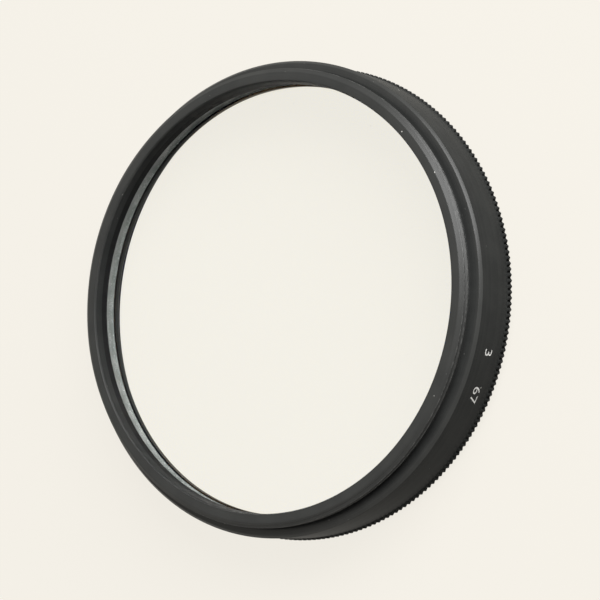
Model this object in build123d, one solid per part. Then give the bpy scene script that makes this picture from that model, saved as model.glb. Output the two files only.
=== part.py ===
from build123d import *
import math
import os

# A close-up filter: a turned and knurled ring that holds a cemented pair of lenses.
# It lies on its front rim, with the optical axis on Z and the rear thread on top.
# Lengths are in millimetres.

# Filter thread, one size at the back and at the front
thread_diameter = 67.0
thread_pitch = 0.75
thread_height_ratio = 0.5413
rear_thread_play = 0.1
rear_thread_length = 2.45
front_thread_length = 3.2

# Outside of the ring
body_wall = 1.4
shoulder_chamfer = 0.4
rear_relief_depth = 0.5
rear_relief_width = 0.4
rear_undercut_width = 0.65
rear_undercut_depth = 0.1
rear_end_chamfer_width = 0.7
rear_end_chamfer_height = 0.35
front_bevel_width = 0.95
front_bevel_height = 1.35

# Straight knurl above the front bevel
knurl_rise = 0.28
knurl_root_rise = 0.02
knurl_width = 1.0
knurl_pitch = 0.818

# Inside of the ring
rear_wall = 2.05
rear_opening_chamfer_width = 0.15
rear_opening_chamfer_height = 0.35
front_lead_in = 0.35
front_runout_depth = 0.5
front_runout_width = 0.85
retainer_step = 0.55
retainer_setback = 0.13
retainer_room = 0.3

# Lens pair: power in dioptres, and each glass by its index and Abbe number
lens_power = 3.0
front_glass_index = 1.618
front_glass_abbe = 63.4
rear_glass_index = 1.805
rear_glass_abbe = 25.4
front_surface_radius = 230.0
lens_overlap = 0.5
front_lens_edge = 1.5
rear_lens_centre = 1.6
cement_thickness = 0.01
rear_apex_clearance = 2.256

# Retaining ring that screws in from the front
retainer_overlap = 0.45
retainer_thickness = 1.3
retainer_bevel = 0.2
spanner_slot_width = 1.6
spanner_slot_depth = 0.8

# Clearances
lens_clearance = 0.05
seat_clearance = 0.01
retainer_clearance = 0.05

# Radii, each from the wall or the fit that sets it
thread_radius = thread_diameter / 2
body_radius = thread_radius + body_wall
knurl_radius = body_radius + knurl_rise
knurl_root_radius = body_radius + knurl_root_rise
knurl_count = round(2 * math.pi * knurl_radius / knurl_pitch)
rear_crest_radius = thread_radius - rear_thread_play / 2
rear_relief_radius = rear_crest_radius - rear_relief_depth
rear_opening_radius = rear_crest_radius - rear_wall
front_minor_radius = thread_radius - thread_height_ratio * thread_pitch
lens_radius = rear_opening_radius + lens_overlap
seat_radius = lens_radius + lens_clearance
retainer_bore_radius = seat_radius + retainer_step
retainer_radius = retainer_bore_radius - retainer_clearance
retainer_opening_radius = lens_radius - retainer_overlap


def thin_lens_curvature(power, index):
    """Difference of a thin lens's two curvatures, for a power in dioptres."""
    return power / 1000 / (index - 1)


def sag(curvature, distance):
    """How far a spherical surface falls away at a distance from the axis."""
    slope = math.sqrt(1 - (curvature * distance) ** 2)
    return curvature * distance ** 2 / (1 + slope)


# The two glasses share the power so that they cancel each other's colour
abbe_gap = front_glass_abbe - rear_glass_abbe
front_power = lens_power * front_glass_abbe / abbe_gap
rear_power = lens_power * rear_glass_abbe / abbe_gap
front_curvature = 1 / front_surface_radius
cement_curvature = thin_lens_curvature(front_power, front_glass_index) - front_curvature
rear_curvature = cement_curvature - thin_lens_curvature(rear_power, rear_glass_index)
front_sag = sag(front_curvature, lens_radius)
cement_sag = sag(cement_curvature, lens_radius)

# Heights above the front rim, from the bottom up
retainer_front = front_thread_length + retainer_setback
retainer_back = retainer_front + retainer_thickness
front_apex = retainer_back + seat_clearance - sag(front_curvature, retainer_opening_radius)
front_edge = front_apex + front_sag
cement_edge = front_edge + front_lens_edge
cement_apex = cement_edge + cement_sag
rear_glass_start = cement_apex + cement_thickness
rear_apex = rear_glass_start + rear_lens_centre
seat_height = rear_apex - sag(rear_curvature, rear_opening_radius) + seat_clearance
top = rear_apex + rear_apex_clearance
shoulder = top - rear_thread_length


def turned(section):
    """Solid turned about Z from a section drawn as distance from the axis and height."""
    return revolve(Plane.XZ * make_face(section), Axis.Z)


def rear_outline():
    """Shoulder, thread relief and thread, then over the end into the rear opening."""
    relief_end = shoulder + rear_relief_width
    return [
        (body_radius, shoulder - shoulder_chamfer),
        (body_radius - shoulder_chamfer, shoulder),
        (rear_relief_radius + rear_undercut_width, shoulder),
        (rear_relief_radius, shoulder - rear_undercut_depth),
        (rear_relief_radius, relief_end),
        (rear_crest_radius, relief_end + rear_relief_depth),
        (rear_crest_radius, top - rear_end_chamfer_height),
        (rear_crest_radius - rear_end_chamfer_width, top),
        (rear_opening_radius + rear_opening_chamfer_width, top),
        (rear_opening_radius, top - rear_opening_chamfer_height),
    ]


def inner_outline():
    """Seat of the lens, bore of the retaining ring and front thread, down to the rim."""
    bore_end = retainer_back + retainer_room
    return [
        (rear_opening_radius, seat_height),
        (seat_radius, seat_height),
        (seat_radius, bore_end),
        (retainer_bore_radius, bore_end),
        (retainer_bore_radius, front_thread_length),
        (front_minor_radius + front_runout_depth, front_thread_length),
        (front_minor_radius, front_thread_length - front_runout_width),
        (front_minor_radius, front_lead_in),
        (front_minor_radius + front_lead_in, 0),
    ]


def knurled_band():
    """Straight knurl of pointed teeth, as a band that reaches into the wall behind it."""
    step = math.pi / knurl_count
    radii = [knurl_radius, knurl_root_radius] * knurl_count
    corners = [(r * math.cos(i * step), r * math.sin(i * step)) for i, r in enumerate(radii)]
    teeth = make_face(Polyline(*corners, close=True))
    middle_of_wall = (thread_radius + body_radius) / 2
    return Pos(0, 0, front_bevel_height) * extrude(teeth - Circle(middle_of_wall), knurl_width)


def frame_ring():
    """The ring as one turned piece, with its knurl."""
    bevel = [(body_radius - front_bevel_width, 0), (body_radius, front_bevel_height)]
    outline = rear_outline() + inner_outline() + bevel
    return turned(Polyline(*outline, close=True)) + knurled_band()


def ball(apex, curvature, side):
    """Ball whose surface passes through the apex; side is 1 where its centre is above.

    It lies on its side, so that neither its poles nor its seam meet the glass.
    """
    radius = 1 / curvature
    return Pos(0, 0, apex + side * radius) * Rot(90, 0, 0) * Sphere(radius)


def front_lens():
    """Low-dispersion lens, ground convex on both sides from a round blank."""
    blank = turned(Polyline(
        (0, front_apex),
        (lens_radius, front_apex),
        (lens_radius, cement_apex),
        (0, cement_apex),
        close=True,
    ))
    return blank & ball(front_apex, front_curvature, 1) & ball(cement_apex, cement_curvature, -1)


def rear_lens():
    """High-dispersion lens, hollow towards the front one, ground from a round blank."""
    blank = turned(Polyline(
        (0, cement_edge),
        (lens_radius, cement_edge),
        (lens_radius, rear_apex),
        (0, rear_apex),
        close=True,
    ))
    hollow = ball(rear_glass_start, cement_curvature, -1)
    return (blank & ball(rear_apex, rear_curvature, -1)) - hollow


def retaining_ring():
    """Threaded ring that presses the lenses on their seat, with two spanner slots."""
    blank = turned(Polyline(
        (retainer_opening_radius, retainer_back),
        (retainer_radius, retainer_back),
        (retainer_radius, retainer_front),
        (retainer_opening_radius + retainer_bevel, retainer_front),
        (retainer_opening_radius, retainer_front + retainer_bevel),
        close=True,
    ))
    slot = Box(3 * retainer_radius, spanner_slot_width, 2 * spanner_slot_depth)
    return blank - Pos(0, 0, retainer_front) * slot


def write_part(node, solid):
    """Write one piece to its own file."""
    export_step(solid, f"parts/{node}.step")


os.makedirs("parts", exist_ok=True)
write_part("frame_ring", frame_ring())
write_part("front_lens", front_lens())
write_part("rear_lens", rear_lens())
write_part("retaining_ring", retaining_ring())
print(f"knurl teeth {knurl_count}, height {top:.2f}, shoulder {shoulder:.2f}")
print(f"surface radii {1 / front_curvature:.1f} {1 / cement_curvature:.1f} {1 / rear_curvature:.1f}")
print(f"centre thickness {cement_apex - front_apex:.2f} and {rear_lens_centre:.2f}")
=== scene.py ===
import bmesh
import bpy
import math
from mathutils import Matrix, Vector


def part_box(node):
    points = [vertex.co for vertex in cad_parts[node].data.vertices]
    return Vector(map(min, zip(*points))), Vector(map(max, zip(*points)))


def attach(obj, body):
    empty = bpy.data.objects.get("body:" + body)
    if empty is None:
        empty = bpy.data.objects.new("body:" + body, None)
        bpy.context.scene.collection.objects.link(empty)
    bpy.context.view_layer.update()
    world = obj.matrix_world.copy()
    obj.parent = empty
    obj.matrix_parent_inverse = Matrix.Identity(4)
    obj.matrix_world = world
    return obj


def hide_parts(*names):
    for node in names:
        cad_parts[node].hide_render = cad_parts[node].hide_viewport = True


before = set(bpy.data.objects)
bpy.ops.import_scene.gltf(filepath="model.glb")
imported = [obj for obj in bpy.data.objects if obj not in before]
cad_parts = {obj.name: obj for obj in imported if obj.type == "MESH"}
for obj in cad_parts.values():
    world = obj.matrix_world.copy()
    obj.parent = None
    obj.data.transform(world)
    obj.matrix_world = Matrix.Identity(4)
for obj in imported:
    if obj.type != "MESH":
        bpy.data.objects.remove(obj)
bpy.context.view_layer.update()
scene = bpy.context.scene
scene.view_settings.view_transform = "Standard"
mm = 0.001
weldDistance = 0.0002 * mm
seamDistance = 0.0005 * mm
sharpAngle = 32  # degrees between two faces, past which the edge stays sharp
print("frame loaded,", len(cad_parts), "nodes")


# Maths for shader and geometry nodes

class Wire:
    # one output socket; arithmetic on it adds Math nodes and node() adds any other
    def __init__(self, tree, socket=None):
        self.tree = tree
        self.socket = socket

    def node(self, kind, settings=None, inputs=None, output=0):
        made = self.tree.nodes.new(kind)
        for name, value in (settings or {}).items():
            setattr(made, name, value)
        for name, value in (inputs or {}).items():
            if isinstance(value, Wire):
                self.tree.links.new(value.socket, made.inputs[name])
            else:
                made.inputs[name].default_value = value
        return Wire(self.tree, made.outputs[output]) if made.outputs else None

    def output(self, name):
        return Wire(self.tree, self.socket.node.outputs[name])

    def maths(self, operation, *values):
        return self.node("ShaderNodeMath", {"operation": operation}, dict(enumerate(values)))

    def to(self, operation, *values):
        return self.maths(operation, self, *values)

    def __add__(self, other):
        return self.maths("ADD", self, other)

    def __radd__(self, other):
        return self.maths("ADD", other, self)

    def __sub__(self, other):
        return self.maths("SUBTRACT", self, other)

    def __rsub__(self, other):
        return self.maths("SUBTRACT", other, self)

    def __mul__(self, other):
        return self.maths("MULTIPLY", self, other)

    def __rmul__(self, other):
        return self.maths("MULTIPLY", other, self)

    def __truediv__(self, other):
        return self.maths("DIVIDE", self, other)

    def rise(self, low, high):
        # 0 below low, 1 above high
        return self.node("ShaderNodeMapRange", {"interpolation_type": "SMOOTHSTEP"},
                         {"Value": self, "From Min": low, "From Max": high})

    def mixed(self, first, second):
        # colour between two others, by this wire
        return self.node("ShaderNodeMix", {"data_type": "RGBA"}, {0: self, 6: first, 7: second}, 2)


def newFinish(name):
    finish = bpy.data.materials.new(name)
    finish.use_nodes = True
    finish.node_tree.nodes.clear()
    return finish, Wire(finish.node_tree)


def placeIn(maker):
    # position on the piece in mm, with its distance from the axis and its height
    point = maker.node("ShaderNodeTexCoord", output="Object")
    point = maker.node("ShaderNodeVectorMath", {"operation": "SCALE"}, {0: point, "Scale": 1 / mm})
    across = maker.node("ShaderNodeSeparateXYZ", {}, {0: point}, "X")
    along = across.output("Y")
    height = across.output("Z")
    radius = (across * across + along * along).to("SQRT")
    return point, radius, height


def noiseAt(maker, point, scale, detail, dimensions="3D"):
    settings = {"noise_dimensions": dimensions}
    return maker.node("ShaderNodeTexNoise", settings, {"Vector": point, "Scale": scale, "Detail": detail})


def specksAt(maker, point, scale, size, share):
    # small round specks, of which only a share of the cells has one
    core = 0.6 * size  # a speck is full up to here and fades out at its size
    fade = 0.02
    cells = maker.node("ShaderNodeTexVoronoi", {}, {"Vector": point, "Scale": scale}, "Distance")
    kept = maker.node("ShaderNodeSeparateColor", {}, {0: cells.output("Color")}, 0)
    near = 1 - cells.rise(core, size)
    return near * kept.rise(1 - share, 1 - share + fade)


# Anodised aluminium, with (scale per mm, detail) for a noise and (scale, size, share) for specks

anodised = {
    "colour": (0.023, 0.024, 0.0235, 1),
    "paleColour": (0.030, 0.031, 0.030, 1),
    # painted shade, for the parts that sit in shade
    "paintedShadeColour": (0.008, 0.008, 0.0085, 1),
    "wornColour": (0.30, 0.30, 0.29, 1),
    "dustColour": (0.52, 0.51, 0.48, 1),
    "turning": (7.0, 3.0),
    "grain": (11.0, 2.0),
    "cloud": (0.22, 3.0),
    "streak": (1.6, 2.0),
    "patches": (1.4, 3.0),
    "cloudShare": 0.7,
    "paleRange": (0.35, 0.65),
    "wornRange": (0.40, 0.70),
    "dust": (0.42, 0.05, 0.5),
    "fineDust": (1.1, 0.05, 0.125),
    "fineDustStrength": 0.6,
    "dustRoughness": 0.4,
    "roughness": 0.46,
    "roughnessSpread": 0.10,
    "gloss": 0.03,
    "faceSheen": 0.55,
    "sheenSpread": 0.4,
    "sheenRoughness": 0.36,
    "grainHeight": 0.004,
    "turnHeight": 0.0015,
}


def anodisedFinish(name, look, wearMask, sheenMask, paintedShadeMask):
    finish, maker = newFinish(name)
    point, radius, height = placeIn(maker)
    ringPoint = maker.node("ShaderNodeCombineXYZ", {}, {0: radius, 1: height})
    turning = noiseAt(maker, ringPoint, *look["turning"], "2D")
    grain = noiseAt(maker, point, *look["grain"])
    cloud = noiseAt(maker, point, *look["cloud"])
    streak = noiseAt(maker, ringPoint, *look["streak"], "2D")
    patches = noiseAt(maker, point, *look["patches"])
    pale = (cloud * look["cloudShare"] + streak * (1 - look["cloudShare"])).rise(*look["paleRange"])
    colour = pale.mixed(look["colour"], look["paleColour"])
    # painted shade: the colour goes darker where the painted shade mask is set
    colour = paintedShadeMask(radius, height).mixed(colour, look["paintedShadeColour"])
    worn = wearMask(radius, height) * patches.rise(*look["wornRange"])
    colour = worn.mixed(colour, look["wornColour"])
    fine = specksAt(maker, point, *look["fineDust"]) * look["fineDustStrength"]
    dusty = specksAt(maker, point, *look["dust"]).to("MAXIMUM", fine)
    colour = dusty.mixed(colour, look["dustColour"])
    uneven = (cloud * 0.5 + turning * 0.5 - 0.5) * look["roughnessSpread"]
    sheen = sheenMask(radius, height) * look["faceSheen"]
    sheen = sheen * (1 - look["sheenSpread"] / 2 + turning * look["sheenSpread"])
    heights = grain * look["grainHeight"] + turning * look["turnHeight"]
    bump = maker.node("ShaderNodeBump", {}, {"Height": heights, "Strength": 1.0, "Distance": mm})
    shader = maker.node("ShaderNodeBsdfPrincipled", {}, {
        "Base Color": colour,
        "Roughness": look["roughness"] + uneven + dusty * look["dustRoughness"],
        "Specular IOR Level": look["gloss"],
        "Coat Weight": sheen,
        "Coat Roughness": look["sheenRoughness"],
        "Normal": bump,
    })
    maker.node("ShaderNodeOutputMaterial", {}, {"Surface": shader})
    return finish


# Turned and repeated forms

def rounded(corners, steps=3):
    # each corner (radius, height, rounding) becomes a small arc
    most = 0.45  # of a side that one rounding may take
    outline = []
    for index, (radius, height, rounding) in enumerate(corners):
        corner = Vector((radius, height))
        back = Vector(corners[index - 1][:2]) - corner
        onward = Vector(corners[(index + 1) % len(corners)][:2]) - corner
        start = corner + back.normalized() * min(rounding, back.length * most)
        end = corner + onward.normalized() * min(rounding, onward.length * most)
        for step in range(steps + 1):
            share = step / steps
            outline.append(tuple(start.lerp(corner, share).lerp(corner.lerp(end, share), share)))
    return outline


def turnedShape(build, outline, columns, finishes=None):
    # a closed outline of (radius, height) turned about Z
    rings = []
    for column in range(columns):
        angle = 2 * math.pi * column / columns
        turn = Vector((math.cos(angle), math.sin(angle)))
        rings.append([build.verts.new((*(turn * r * mm), z * mm)) for r, z in outline])
    for column, here in enumerate(rings):
        after = rings[(column + 1) % columns]
        for row in range(len(outline)):
            following = (row + 1) % len(outline)
            face = build.faces.new((here[row], after[row], after[following], here[following]))
            face.material_index = finishes[row] if finishes else 0


def closeShape(build):
    bmesh.ops.remove_doubles(build, verts=build.verts, dist=weldDistance)
    bmesh.ops.recalc_face_normals(build, faces=build.faces)
    for face in build.faces:
        face.smooth = True
    for edge in build.edges:
        edge.smooth = edge.calc_face_angle(0) < math.radians(sharpAngle)


def pieceFrom(build, name, finishes):
    mesh = bpy.data.meshes.new(name)
    build.to_mesh(mesh)
    build.free()
    for finish in finishes:
        mesh.materials.append(finish)
    piece = bpy.data.objects.new(name, mesh)
    scene.collection.objects.link(piece)
    print(name, "made,", sum(len(p.vertices) - 2 for p in mesh.polygons), "triangles")
    return piece


def nodeTree(name, sizes, fillTree):
    # a geometry node tree with one named input for each size
    tree = bpy.data.node_groups.new(name, "GeometryNodeTree")
    tree.interface.new_socket("Geometry", in_out="OUTPUT", socket_type="NodeSocketGeometry")
    kinds = {float: "NodeSocketFloat", int: "NodeSocketInt"}
    for key, value in sizes.items():
        kind = kinds.get(type(value), "NodeSocketObject")
        tree.interface.new_socket(key, in_out="INPUT", socket_type=kind)
    tree.interface.new_socket("finish", in_out="INPUT", socket_type="NodeSocketMaterial")
    maker = Wire(tree)
    source = maker.node("NodeGroupInput")
    shape = fillTree(maker, source)
    shape = maker.node("GeometryNodeRealizeInstances", {}, {"Geometry": shape})
    finish = {"Geometry": shape, "Material": source.output("finish")}
    shape = maker.node("GeometryNodeSetMaterial", {}, finish)
    maker.node("NodeGroupOutput", {}, {"Geometry": shape})
    return tree


def grownMesh(name, sizes, fillTree, finish):
    # plain mesh of what the tree makes from these sizes
    tree = nodeTree(name, sizes, fillTree)
    holder = bpy.data.objects.new(name + "Holder", bpy.data.meshes.new(name))
    scene.collection.objects.link(holder)
    modifier = holder.modifiers.new(name, "NODES")
    modifier.node_group = tree
    values = {**sizes, "finish": finish}
    for item in tree.interface.items_tree:
        if item.in_out == "INPUT":
            modifier[item.identifier] = values[item.name]
    bpy.context.view_layer.update()
    grown = holder.evaluated_get(bpy.context.evaluated_depsgraph_get())
    mesh = bpy.data.meshes.new_from_object(grown)
    holder.modifiers.remove(modifier)
    bpy.data.objects.remove(holder)
    return mesh


def threadSleeve(maker, source):
    # a grid whose rows follow the helix, closed on itself inside the wall
    get = source.output
    rows = (get("turns") + 1) * get("rowsPerTurn")
    size = {"Size X": 1.0, "Size Y": 1.0, "Vertices X": get("columns") + 1, "Vertices Y": rows + 2}
    sheet = maker.node("GeometryNodeMeshGrid", {}, size)
    place = maker.node("ShaderNodeSeparateXYZ", {}, {0: maker.node("GeometryNodeInputPosition")}, "X")
    share = place + 0.5
    row = ((place.output("Y") + 0.5) * (rows + 1)).to("ROUND")
    closing = row.to("GREATER_THAN", rows + 0.5)
    turn = row / get("rowsPerTurn")
    height = (get("bottom") + get("pitch") * (turn + share - 1)).to("MAXIMUM", get("bottom"))
    height = height.to("MINIMUM", get("top")) * (1 - closing) + get("bottom") * closing
    slope = 1 - 2 * (turn.to("FRACT") - 0.5).to("ABSOLUTE")
    ridge = (slope - get("rootFlat")) / (1 - get("rootFlat") - get("crestFlat"))
    ridge = ridge.to("MAXIMUM", 0.0).to("MINIMUM", 1.0) * get("depth")
    lower = (height - get("bottom")) * get("bottomSlope")
    upper = (get("top") - height) * get("topSlope")
    ridge = (ridge + get("sunk")).to("MINIMUM", lower).to("MINIMUM", upper)
    radius = get("sunkRadius") + get("outward") * ridge
    angle = share * (2 * math.pi)
    point = {0: angle.to("COSINE") * radius, 1: angle.to("SINE") * radius, 2: height}
    point = maker.node("ShaderNodeCombineXYZ", {}, point)
    point = maker.node("ShaderNodeVectorMath", {"operation": "SCALE"}, {0: point, "Scale": mm})
    moved = maker.node("GeometryNodeSetPosition", {}, {"Geometry": sheet, "Position": point})
    return maker.node("GeometryNodeMergeByDistance", {}, {"Geometry": moved, "Distance": seamDistance})


def toothedBand(maker, source):
    # one tooth on each of the points of a circle, turned to stand outwards
    get = source.output
    circle = {"Vertices": get("count"), "Radius": get("radius") * mm}
    points = maker.node("GeometryNodeMeshCircle", {}, circle)
    shape = maker.node("GeometryNodeObjectInfo", {}, {"Object": get("tooth")}, "Geometry")
    turn = maker.node("GeometryNodeInputIndex") * (2 * math.pi) / get("count")
    turn = maker.node("ShaderNodeCombineXYZ", {}, {2: turn})
    teeth = {"Points": points, "Instance": shape, "Rotation": turn}
    return maker.node("GeometryNodeInstanceOnPoints", {}, teeth)


# The ring, in mm; a zone is the range of radius or height over which its finish or its painted shade
# changes

ring = {
    "columns": 360,
    "wallRadius": 34.9,
    "shoulder": 9.534,
    "shoulderChamfer": 0.4,
    "reliefRadius": 32.95,
    "reliefEdge": 33.6,
    "undercut": 0.1,
    "endRadius": 32.75,
    "openingRadius": 31.4,
    "openingChamfer": (0.15, 0.35),
    "seatRadius": 31.95,
    "seatHeight": 9.117,
    "boreRadius": 32.5,
    "boreTop": 4.93,
    "frontThreadTop": 3.2,
    "frontRoot": 33.56,
    "frontRootFoot": 0.06,
    "frontRimInner": 33.60,
    "frontRimOuter": 33.95,
    "bevelTop": 1.35,
    "crestZone": (33.38, 33.45),
    "threadZone": (10.05, 10.2),
    "crestWear": 0.35,
    "tipZone": (35.14, 35.19),
    "tipWear": 0.06,
    "turnedZone": (9.12, 9.16),
    "pastOpeningZone": (31.40, 31.44),
    "openingZone": (31.45, 31.50),
    "paintedShadeZone": (10.32, 10.42),
}
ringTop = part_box("frame_ring")[1][2] / mm

tooth = {
    "count": 270,
    "rise": 0.28,
    "rootRise": 0.02,
    "tip": 0.06,
    "width": 1.0,
    "sink": 0.06,
    "foot": 1.35,
    "lowerBevel": 0.07,
    "upperBevel": 0.32,
    "lowerShare": 0.62,
    "upperShare": 0.12,
}

rearThread = {
    "turns": 3, "rowsPerTurn": 14, "columns": 360, "pitch": 0.75, "rootFlat": 0.16, "crestFlat": 0.12,
    "depth": 0.46, "sunk": 0.09, "sunkRadius": 32.90, "outward": 1.0,
    "bottom": 9.884, "top": 11.909, "bottomSlope": 1.0, "topSlope": 2.0,
}

frontThread = {
    "turns": 4, "rowsPerTurn": 12, "columns": 300, "pitch": 0.75, "rootFlat": 0.12, "crestFlat": 0.18,
    "depth": 0.44, "sunk": 0.07, "sunkRadius": 33.60, "outward": -1.0,
    "bottom": 0.0, "top": 3.21, "bottomSlope": 1.27, "topSlope": 0.588,
}


def ringWear(radius, height):
    crest = radius.rise(*ring["crestZone"]) * height.rise(*ring["threadZone"])
    tip = radius.rise(*ring["tipZone"])
    return (crest * ring["crestWear"]).to("MAXIMUM", tip * ring["tipWear"])


def ringSheen(radius, height):
    # the turned shoulder, thread and end face are smoother than the blasted wall
    return height.rise(*ring["turnedZone"]) * radius.rise(*ring["pastOpeningZone"])


def ringPaintedShade(radius, height):
    # the wall of the rear opening is painted darker below its edge, as painted shade deep in the bore
    return (1 - radius.rise(*ring["openingZone"])) * (1 - height.rise(*ring["paintedShadeZone"]))


def ringOutline(sizes):
    # corners (radius, height, rounding) from the front rim up the wall and down the bores
    wall = sizes["wallRadius"]
    shoulder = sizes["shoulder"]
    chamfer = sizes["shoulderChamfer"]
    openAcross, openDown = sizes["openingChamfer"]
    relief = sizes["reliefRadius"]
    opening = sizes["openingRadius"]
    chamferStart = ringTop - (relief - sizes["endRadius"]) / 2
    return rounded([
        (sizes["frontRimOuter"], 0, 0.10),
        (wall, sizes["bevelTop"], 0.08),
        (wall, shoulder - chamfer, 0.07),
        (wall - chamfer, shoulder, 0.07),
        (sizes["reliefEdge"], shoulder, 0.05),
        (relief, shoulder - sizes["undercut"], 0.04),
        (relief, chamferStart, 0.04),
        (sizes["endRadius"], ringTop, 0.06),
        (opening + openAcross, ringTop, 0.06),
        (opening, ringTop - openDown, 0.05),
        (opening, sizes["seatHeight"], 0.04),
        (sizes["seatRadius"], sizes["seatHeight"], 0.02),
        (sizes["seatRadius"], sizes["boreTop"], 0.03),
        (sizes["boreRadius"], sizes["boreTop"], 0.02),
        (sizes["boreRadius"], sizes["frontThreadTop"], 0.05),
        (sizes["frontRoot"], sizes["frontThreadTop"], 0.03),
        (sizes["frontRoot"], sizes["frontRootFoot"], 0.02),
        (sizes["frontRimInner"], 0, 0.02),
    ])


def toothPiece(sizes, wall):
    # one pointed tooth with a narrow worn tip, whose upper end slopes down to the wall
    half = math.pi * (wall + sizes["rootRise"]) / sizes["count"]
    tip, sink, foot, width = sizes["tip"], sizes["sink"], sizes["foot"], sizes["width"]
    levels = (
        (0, sizes["lowerShare"]),
        (sizes["lowerBevel"], 1),
        (width - sizes["upperBevel"], 1),
        (width, sizes["upperShare"]),
    )
    build = bmesh.new()
    sections = []
    for height, share in levels:
        low, high = sizes["rootRise"] * share, sizes["rise"] * share
        shape = [(-half, -sink), (half, -sink), (half, low), (tip, high), (-tip, high), (-half, low)]
        level = (foot + height) * mm
        sections.append([build.verts.new((out * mm, side * mm, level)) for side, out in shape])
    for here, above in zip(sections, sections[1:]):
        for index in range(len(here)):
            following = (index + 1) % len(here)
            build.faces.new((here[index], here[following], above[following], above[index]))
    build.faces.new(sections[0][::-1])
    build.faces.new(sections[-1])
    return pieceFrom(build, "knurlTooth", [])


ringFinish = anodisedFinish("anodisedRing", anodised, ringWear, ringSheen, ringPaintedShade)
print("anodised finish made")
knurlTooth = toothPiece(tooth, ring["wallRadius"])
band = {"count": tooth["count"], "radius": ring["wallRadius"], "tooth": knurlTooth}
ringParts = [
    grownMesh("knurledBand", band, toothedBand, ringFinish),
    grownMesh("rearThread", rearThread, threadSleeve, ringFinish),
    grownMesh("frontThread", frontThread, threadSleeve, ringFinish),
]
build = bmesh.new()
turnedShape(build, ringOutline(ring), ring["columns"])
for part in ringParts:
    build.from_mesh(part)
closeShape(build)
bpy.data.objects.remove(knurlTooth)
frameRing = pieceFrom(build, "frameRing", [ringFinish])
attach(frameRing, "root")
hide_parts("frame_ring")


# The retaining ring, in mm

retainer = {
    "columns": 360,
    "openingRadius": 31.45,
    "outerRadius": 32.45,
    "bevel": 0.2,
    "slotWidth": 1.6,
    "slotDepth": 0.8,
    "openingZone": (31.50, 31.62),
    "frontEdgeZone": (3.5, 3.7),
    "openingWear": 0.15,
    "turnedZone": (3.6, 3.8),
    "paintedShadeZone": (4.5, 4.6),
}
retainerLook = {
    **anodised,
    "roughness": 0.34,
    "dust": (0.42, 0.05, 0.1),
    "fineDust": (1.1, 0.05, 0.025),
}
retainerLow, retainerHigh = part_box("retaining_ring")


def retainerWear(radius, height):
    edge = (1 - radius.rise(*retainer["openingZone"])) * (1 - height.rise(*retainer["frontEdgeZone"]))
    return edge * retainer["openingWear"]


def retainerSheen(radius, height):
    return 1 - height.rise(*retainer["turnedZone"])


def retainerPaintedShade(radius, height):
    # painted shade: the back of the retainer, under the lens, is darker
    return height.rise(*retainer["paintedShadeZone"])


def cutSlots(piece, sizes, front):
    # two spanner slots, cut with one bar
    cutter = bmesh.new()
    bmesh.ops.create_cube(cutter, size=1.0)
    size = (3 * sizes["outerRadius"] * mm, sizes["slotWidth"] * mm, 2 * sizes["slotDepth"] * mm)
    place = Matrix.Translation((0, 0, front)) @ Matrix.Diagonal((*size, 1))
    bmesh.ops.transform(cutter, matrix=place, verts=cutter.verts)
    bar = pieceFrom(cutter, "slotBar", [])
    slots = piece.modifiers.new("slots", "BOOLEAN")
    slots.object = bar
    slots.solver = "EXACT"
    bpy.context.view_layer.update()
    slotted = piece.evaluated_get(bpy.context.evaluated_depsgraph_get())
    cut = bpy.data.meshes.new_from_object(slotted)
    piece.modifiers.remove(slots)
    bpy.data.objects.remove(bar)
    return cut


retainerFinish = anodisedFinish(
    "anodisedRetainer", retainerLook, retainerWear, retainerSheen, retainerPaintedShade)
front, back = retainerLow[2] / mm, retainerHigh[2] / mm
opening, outer, bevel = retainer["openingRadius"], retainer["outerRadius"], retainer["bevel"]
build = bmesh.new()
# corners (radius, height, rounding) from the back round to the bevel at the front
turnedShape(build, rounded([
    (opening, back, 0.03),
    (outer, back, 0.04),
    (outer, front, 0.06),
    (opening + bevel, front, 0.04),
    (opening, front + bevel, 0.04),
]), retainer["columns"])
closeShape(build)
retainingRing = pieceFrom(build, "retainingRing", [retainerFinish])
slottedMesh = cutSlots(retainingRing, retainer, retainerLow[2])
build = bmesh.new()
build.from_mesh(slottedMesh)
closeShape(build)
build.to_mesh(retainingRing.data)
build.free()
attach(retainingRing, "root")
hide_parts("retaining_ring")


# The two cemented lenses, in mm

lens = {
    "columns": 256,
    "rows": 24,
    "radius": 31.9,
    "bevel": 0.15,
    "frontBevelHeight": 0.3,
    "frontCurve": 230.0,
    "cementCurve": 266.6,
    "rearCurve": 793.5,
    "crownIndex": 1.618,
    "flintIndex": 1.805,
    "cementGap": 0.01,
}
coating = {
    "thickness": 118.0,  # in nanometres
    "index": 1.38,
    "glassColour": (0.985, 0.995, 0.99, 1),
    "dustColour": (0.55, 0.55, 0.54, 1),
    "smears": (0.09, 4.0),
    "smearRange": (0.55, 0.8),
    "smearRoughness": 0.015,
    "dust": (0.45, 0.035, 0.35),
    "dustRoughness": 0.5,
}
groundEdge = {
    "darkColour": (0.10, 0.115, 0.11, 1),
    "paleColour": (0.62, 0.64, 0.62, 1),
    "grain": (9.0, 3.0),
    "grainRange": (0.45, 0.75),
    "cloud": (0.5, 3.0),
    "cloudRange": (0.3, 0.7),
    "chips": (2.2, 0.22, 0.5),
    "roughness": 0.45,
    "chipShine": 0.2,
    "gloss": 0.5,
    "grainHeight": 0.02,
}


def lampFactor(maker):
    # 1 for shadow and diffuse rays, which bring the softbox's light through the glass
    shadow = maker.node("ShaderNodeLightPath", output="Is Shadow Ray")
    return shadow.to("MAXIMUM", shadow.output("Is Diffuse Ray"))


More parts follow.
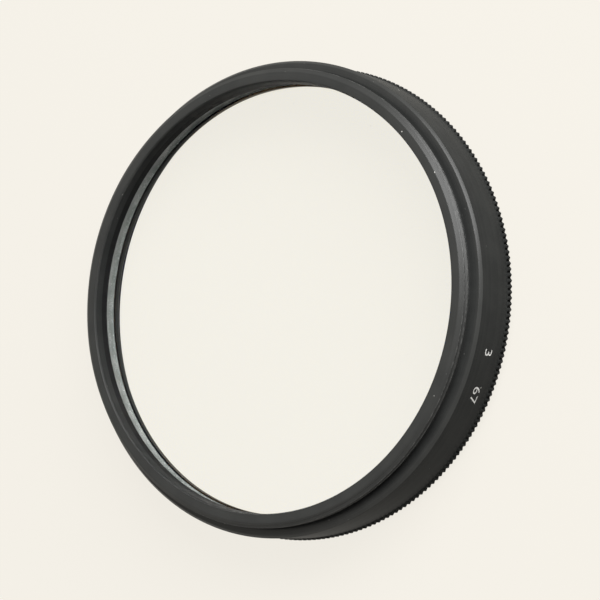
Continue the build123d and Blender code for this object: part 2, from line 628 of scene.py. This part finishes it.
def coatedGlass(name, index, look):
    finish, maker = newFinish(name)
    point, radius, height = placeIn(maker)
    smears = noiseAt(maker, point, *look["smears"])
    dust = specksAt(maker, point, *look["dust"])
    smeared = smears.rise(*look["smearRange"]) * look["smearRoughness"]
    shader = maker.node("ShaderNodeBsdfPrincipled", {}, {
        "Base Color": dust.mixed(look["glassColour"], look["dustColour"]),
        "Roughness": smeared + dust * look["dustRoughness"],
        "IOR": index,
        "Transmission Weight": 1.0,
        "Thin Film Thickness": look["thickness"],
        "Thin Film IOR": look["index"],
    })
    clear = maker.node("ShaderNodeBsdfTransparent")
    mixed = maker.node("ShaderNodeMixShader", {}, {0: lampFactor(maker), 1: shader, 2: clear})
    maker.node("ShaderNodeOutputMaterial", {}, {"Surface": mixed})
    return finish


def cementFace(name, ratio=None):
    # clear where the other face bends the light, or bending it by the ratio of the two glasses
    finish, maker = newFinish(name)
    face = maker.node("ShaderNodeBsdfTransparent")
    if ratio:
        bent = maker.node("ShaderNodeBsdfRefraction", {}, {"Roughness": 0.0, "IOR": ratio})
        face = maker.node("ShaderNodeMixShader", {}, {0: lampFactor(maker), 1: bent, 2: face})
    maker.node("ShaderNodeOutputMaterial", {}, {"Surface": face})
    return finish


def groundGlass(name, look):
    finish, maker = newFinish(name)
    point, radius, height = placeIn(maker)
    grain = noiseAt(maker, point, *look["grain"])
    chips = specksAt(maker, point, *look["chips"])
    cloud = noiseAt(maker, point, *look["cloud"])
    bright = grain.rise(*look["grainRange"]) * cloud.rise(*look["cloudRange"])
    heights = grain * look["grainHeight"]
    bump = maker.node("ShaderNodeBump", {}, {"Height": heights, "Strength": 1.0, "Distance": mm})
    shader = maker.node("ShaderNodeBsdfPrincipled", {}, {
        "Base Color": bright.to("MAXIMUM", chips).mixed(look["darkColour"], look["paleColour"]),
        "Roughness": look["roughness"] - chips * look["chipShine"],
        "Specular IOR Level": look["gloss"],
        "Normal": bump,
    })
    maker.node("ShaderNodeOutputMaterial", {}, {"Surface": shader})
    return finish


def sag(curve, distance):
    return curve - math.sqrt(curve * curve - distance * distance)


def surfaceLine(apex, curve, side, reach):
    # points of a polished face from the axis outwards
    steps = [reach * row / lens["rows"] for row in range(lens["rows"] + 1)]
    return [(distance, apex + side * sag(curve, distance)) for distance in steps]


def lensPiece(name, outline, finishes):
    # an outline of (point, number of the finish that starts there)
    build = bmesh.new()
    points = [point for point, finish in outline]
    turnedShape(build, points, lens["columns"], [finish for point, finish in outline])
    closeShape(build)
    return pieceFrom(build, name, finishes)


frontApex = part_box("front_lens")[0][2] / mm
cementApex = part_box("front_lens")[1][2] / mm
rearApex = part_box("rear_lens")[1][2] / mm
reach = lens["radius"]
inner = reach - lens["bevel"]
crownFace = coatedGlass("crownGlass", lens["crownIndex"], coating)
flintFace = coatedGlass("flintGlass", lens["flintIndex"], coating)
groundFace = groundGlass("groundGlassEdge", groundEdge)
cementFront = cementFace("cementFront")
cementRear = cementFace("cementRear", lens["flintIndex"] / lens["crownIndex"])

frontFace = surfaceLine(frontApex, lens["frontCurve"], 1, inner)
cementLine = surfaceLine(cementApex, lens["cementCurve"], -1, reach)
bevelTop = frontFace[-1][1] + lens["frontBevelHeight"]
outline = [(point, 0) for point in frontFace[:-1]]
outline += [(frontFace[-1], 1), ((reach, bevelTop), 1)]
outline += [(point, 2) for point in reversed(cementLine)]
frontLens = lensPiece("frontLens", outline, [crownFace, groundFace, cementFront])
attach(frontLens, "root")
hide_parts("front_lens")

rearFace = surfaceLine(rearApex, lens["rearCurve"], -1, inner)
hollow = surfaceLine(cementApex + lens["cementGap"], lens["cementCurve"], -1, reach)
outline = [(point, 2) for point in hollow[:-1]]
outline += [(hollow[-1], 1), ((reach, rearFace[-1][1] - lens["bevel"]), 1)]
outline += [(point, 0) for point in reversed(rearFace)]
rearLens = lensPiece("rearLens", outline, [flintFace, groundFace, cementRear])
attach(rearLens, "root")
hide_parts("rear_lens")


# Printed numerals on the wall, each with its azimuth in degrees

numerals = {
    "words": (("3", 266.6), ("67", 257.6)),
    "height": 1.95,
    "digitShare": 0.729,  # of the font's size that a digit is high
    "baseline": 6.45,
    "proud": 0.02,
    "thin": -0.018,
    "curveSteps": 6,
    "colour": (0.80, 0.80, 0.78, 1),
    "wornColour": (0.45, 0.45, 0.44, 1),
    "wear": (5.0, 4.0),
    "wornRange": (0.62, 0.8),
    "roughness": 0.5,
    "roughnessSpread": 0.15,
    "gloss": 0.3,
}


def printFinish(look):
    finish, maker = newFinish("printedWhite")
    point, radius, height = placeIn(maker)
    wear = noiseAt(maker, point, *look["wear"])
    shader = maker.node("ShaderNodeBsdfPrincipled", {}, {
        "Base Color": wear.rise(*look["wornRange"]).mixed(look["colour"], look["wornColour"]),
        "Roughness": look["roughness"] + wear * look["roughnessSpread"],
        "Specular IOR Level": look["gloss"],
    })
    maker.node("ShaderNodeOutputMaterial", {}, {"Surface": shader})
    return finish


def wrappedWord(build, word, azimuth, look):
    # flat lettering bent round the wall, its foot towards the shoulder
    curve = bpy.data.curves.new("word" + word, "FONT")
    curve.body = word
    curve.size = look["height"] / look["digitShare"]
    curve.offset = look["thin"]
    curve.resolution_u = look["curveSteps"]
    flat = bpy.data.objects.new("flat" + word, curve)
    scene.collection.objects.link(flat)
    bpy.context.view_layer.update()
    filled = flat.evaluated_get(bpy.context.evaluated_depsgraph_get())
    mesh = bpy.data.meshes.new_from_object(filled)
    bpy.data.objects.remove(flat)
    out = ring["wallRadius"] + look["proud"]
    for vertex in mesh.vertices:
        along, up, _ = vertex.co
        angle = math.radians(azimuth) - along / out
        height = look["baseline"] - up
        vertex.co = (out * math.cos(angle) * mm, out * math.sin(angle) * mm, height * mm)
    build.from_mesh(mesh)


build = bmesh.new()
for word, azimuth in numerals["words"]:
    wrappedWord(build, word, azimuth, numerals)
sideNumerals = pieceFrom(build, "sideNumerals", [printFinish(numerals)])
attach(sideNumerals, "root")


# Floor, light and camera; lengths in metres and angles in degrees

studio = {
    "floorColour": (0.42, 0.404, 0.371, 1),
    "floorRoughness": 0.5,
    "paleColour": (0.992, 0.955, 0.876, 1),
    "floorGlow": 0.85,
    "floorSize": 4.0,
    "backColour": (0.905, 0.871, 0.799, 1),
    "fillColour": (1, 1, 1, 1),
    "fill": 0.22,
    "softboxWide": 0.32,
    "softboxTall": 0.36,
    "softboxDistance": 0.45,
    "softboxAzimuth": -33,
    "softboxHeight": 40,
    "softboxPower": 3.6,
}


def seenDirectly(maker):
    # 1 for rays that see the floor and background, straight, mirrored or through glass
    rays = maker.node("ShaderNodeLightPath", output="Is Camera Ray")
    seen = rays.to("MAXIMUM", rays.output("Is Glossy Ray"))
    return seen.to("MAXIMUM", rays.output("Is Transmission Ray"))


def floorFinish(look):
    finish, maker = newFinish("paleFloor")
    plain = {"Color": look["floorColour"], "Roughness": look["floorRoughness"]}
    lit = maker.node("ShaderNodeBsdfDiffuse", {}, plain)
    glow = maker.node("ShaderNodeEmission", {}, {"Color": look["paleColour"], "Strength": 1.0})
    share = seenDirectly(maker) * look["floorGlow"]
    mixed = maker.node("ShaderNodeMixShader", {}, {0: share, 1: lit, 2: glow})
    maker.node("ShaderNodeOutputMaterial", {}, {"Surface": mixed})
    return finish


build = bmesh.new()
bmesh.ops.create_grid(build, x_segments=1, y_segments=1, size=studio["floorSize"] / 2)
floor = pieceFrom(build, "floor", [floorFinish(studio)])

world = bpy.data.worlds.new("studioFill")
scene.world = world
world.use_nodes = True
world.node_tree.nodes.clear()
maker = Wire(world.node_tree)
filling = {"Color": studio["fillColour"], "Strength": studio["fill"]}
fill = maker.node("ShaderNodeBackground", {}, filling)
pale = maker.node("ShaderNodeBackground", {}, {"Color": studio["backColour"], "Strength": 1.0})
mixed = maker.node("ShaderNodeMixShader", {}, {0: seenDirectly(maker), 1: fill, 2: pale})
maker.node("ShaderNodeOutputWorld", {}, {"Surface": mixed})

lamp = bpy.data.lights.new("softbox", "AREA")
lamp.shape = "RECTANGLE"
lamp.size = studio["softboxWide"]
lamp.size_y = studio["softboxTall"]
lamp.energy = studio["softboxPower"]
softbox = bpy.data.objects.new("softbox", lamp)
azimuth, rise = math.radians(studio["softboxAzimuth"]), math.radians(studio["softboxHeight"])
level = math.cos(rise)
towards = Vector((level * math.cos(azimuth), level * math.sin(azimuth), math.sin(rise)))
softbox.location = towards * studio["softboxDistance"]
softbox.rotation_euler = towards.to_track_quat("Z", "Y").to_euler()
scene.collection.objects.link(softbox)

# the camera's place, lens and sensor are in mm
view = {
    "place": (0, -178.15, 258.15),
    "right": (0.1614, -0.8099, -0.564),
    "forward": (0.0009, 0.5716, -0.8205),
    "lens": 126,
    "sensor": 36,
}
lookAlong = Vector(view["forward"]).normalized()
right = Vector(view["right"])
right = (right - lookAlong * right.dot(lookAlong)).normalized()
up = right.cross(lookAlong)
camera = bpy.data.objects.new("camera", bpy.data.cameras.new("camera"))
camera.data.lens = view["lens"]
camera.data.sensor_width = view["sensor"]
turnMatrix = Matrix((right, up, -lookAlong)).transposed().to_4x4()
camera.matrix_world = Matrix.Translation(Vector(view["place"]) * mm) @ turnMatrix
scene.collection.objects.link(camera)
scene.camera = camera
print("studio and camera set")
